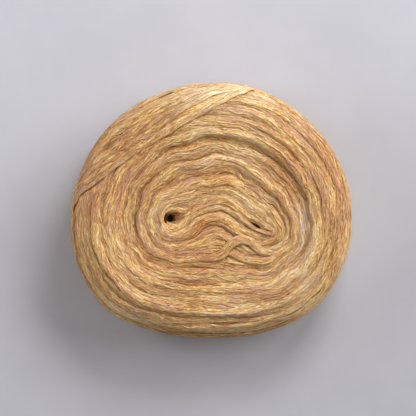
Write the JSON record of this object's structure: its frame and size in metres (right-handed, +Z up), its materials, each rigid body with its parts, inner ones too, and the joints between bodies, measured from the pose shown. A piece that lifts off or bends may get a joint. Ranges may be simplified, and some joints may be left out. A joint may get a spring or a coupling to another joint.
{
  "type": "yarn cake",
  "caption": "Flat wound cake of unspun wool roving, lying on its face, with a collapsed bent centre fold and turns that cross its top face.",
  "frame": {"origin": "under the middle of the cake's bounding box, on the surface that it lies on", "axes": "+Z up out of the top face, +X along the cake's longer width, +Y towards the crossing turns' side"},
  "size_m": [0.1748, 0.1578, 0.0519],
  "materials": {
    "wool": "matt heathered ochre wool, soft and slightly hairy"
  },
  "bodies": {
    "root": {"yarn_cake": "wool"}
  },
  "joints": []
}
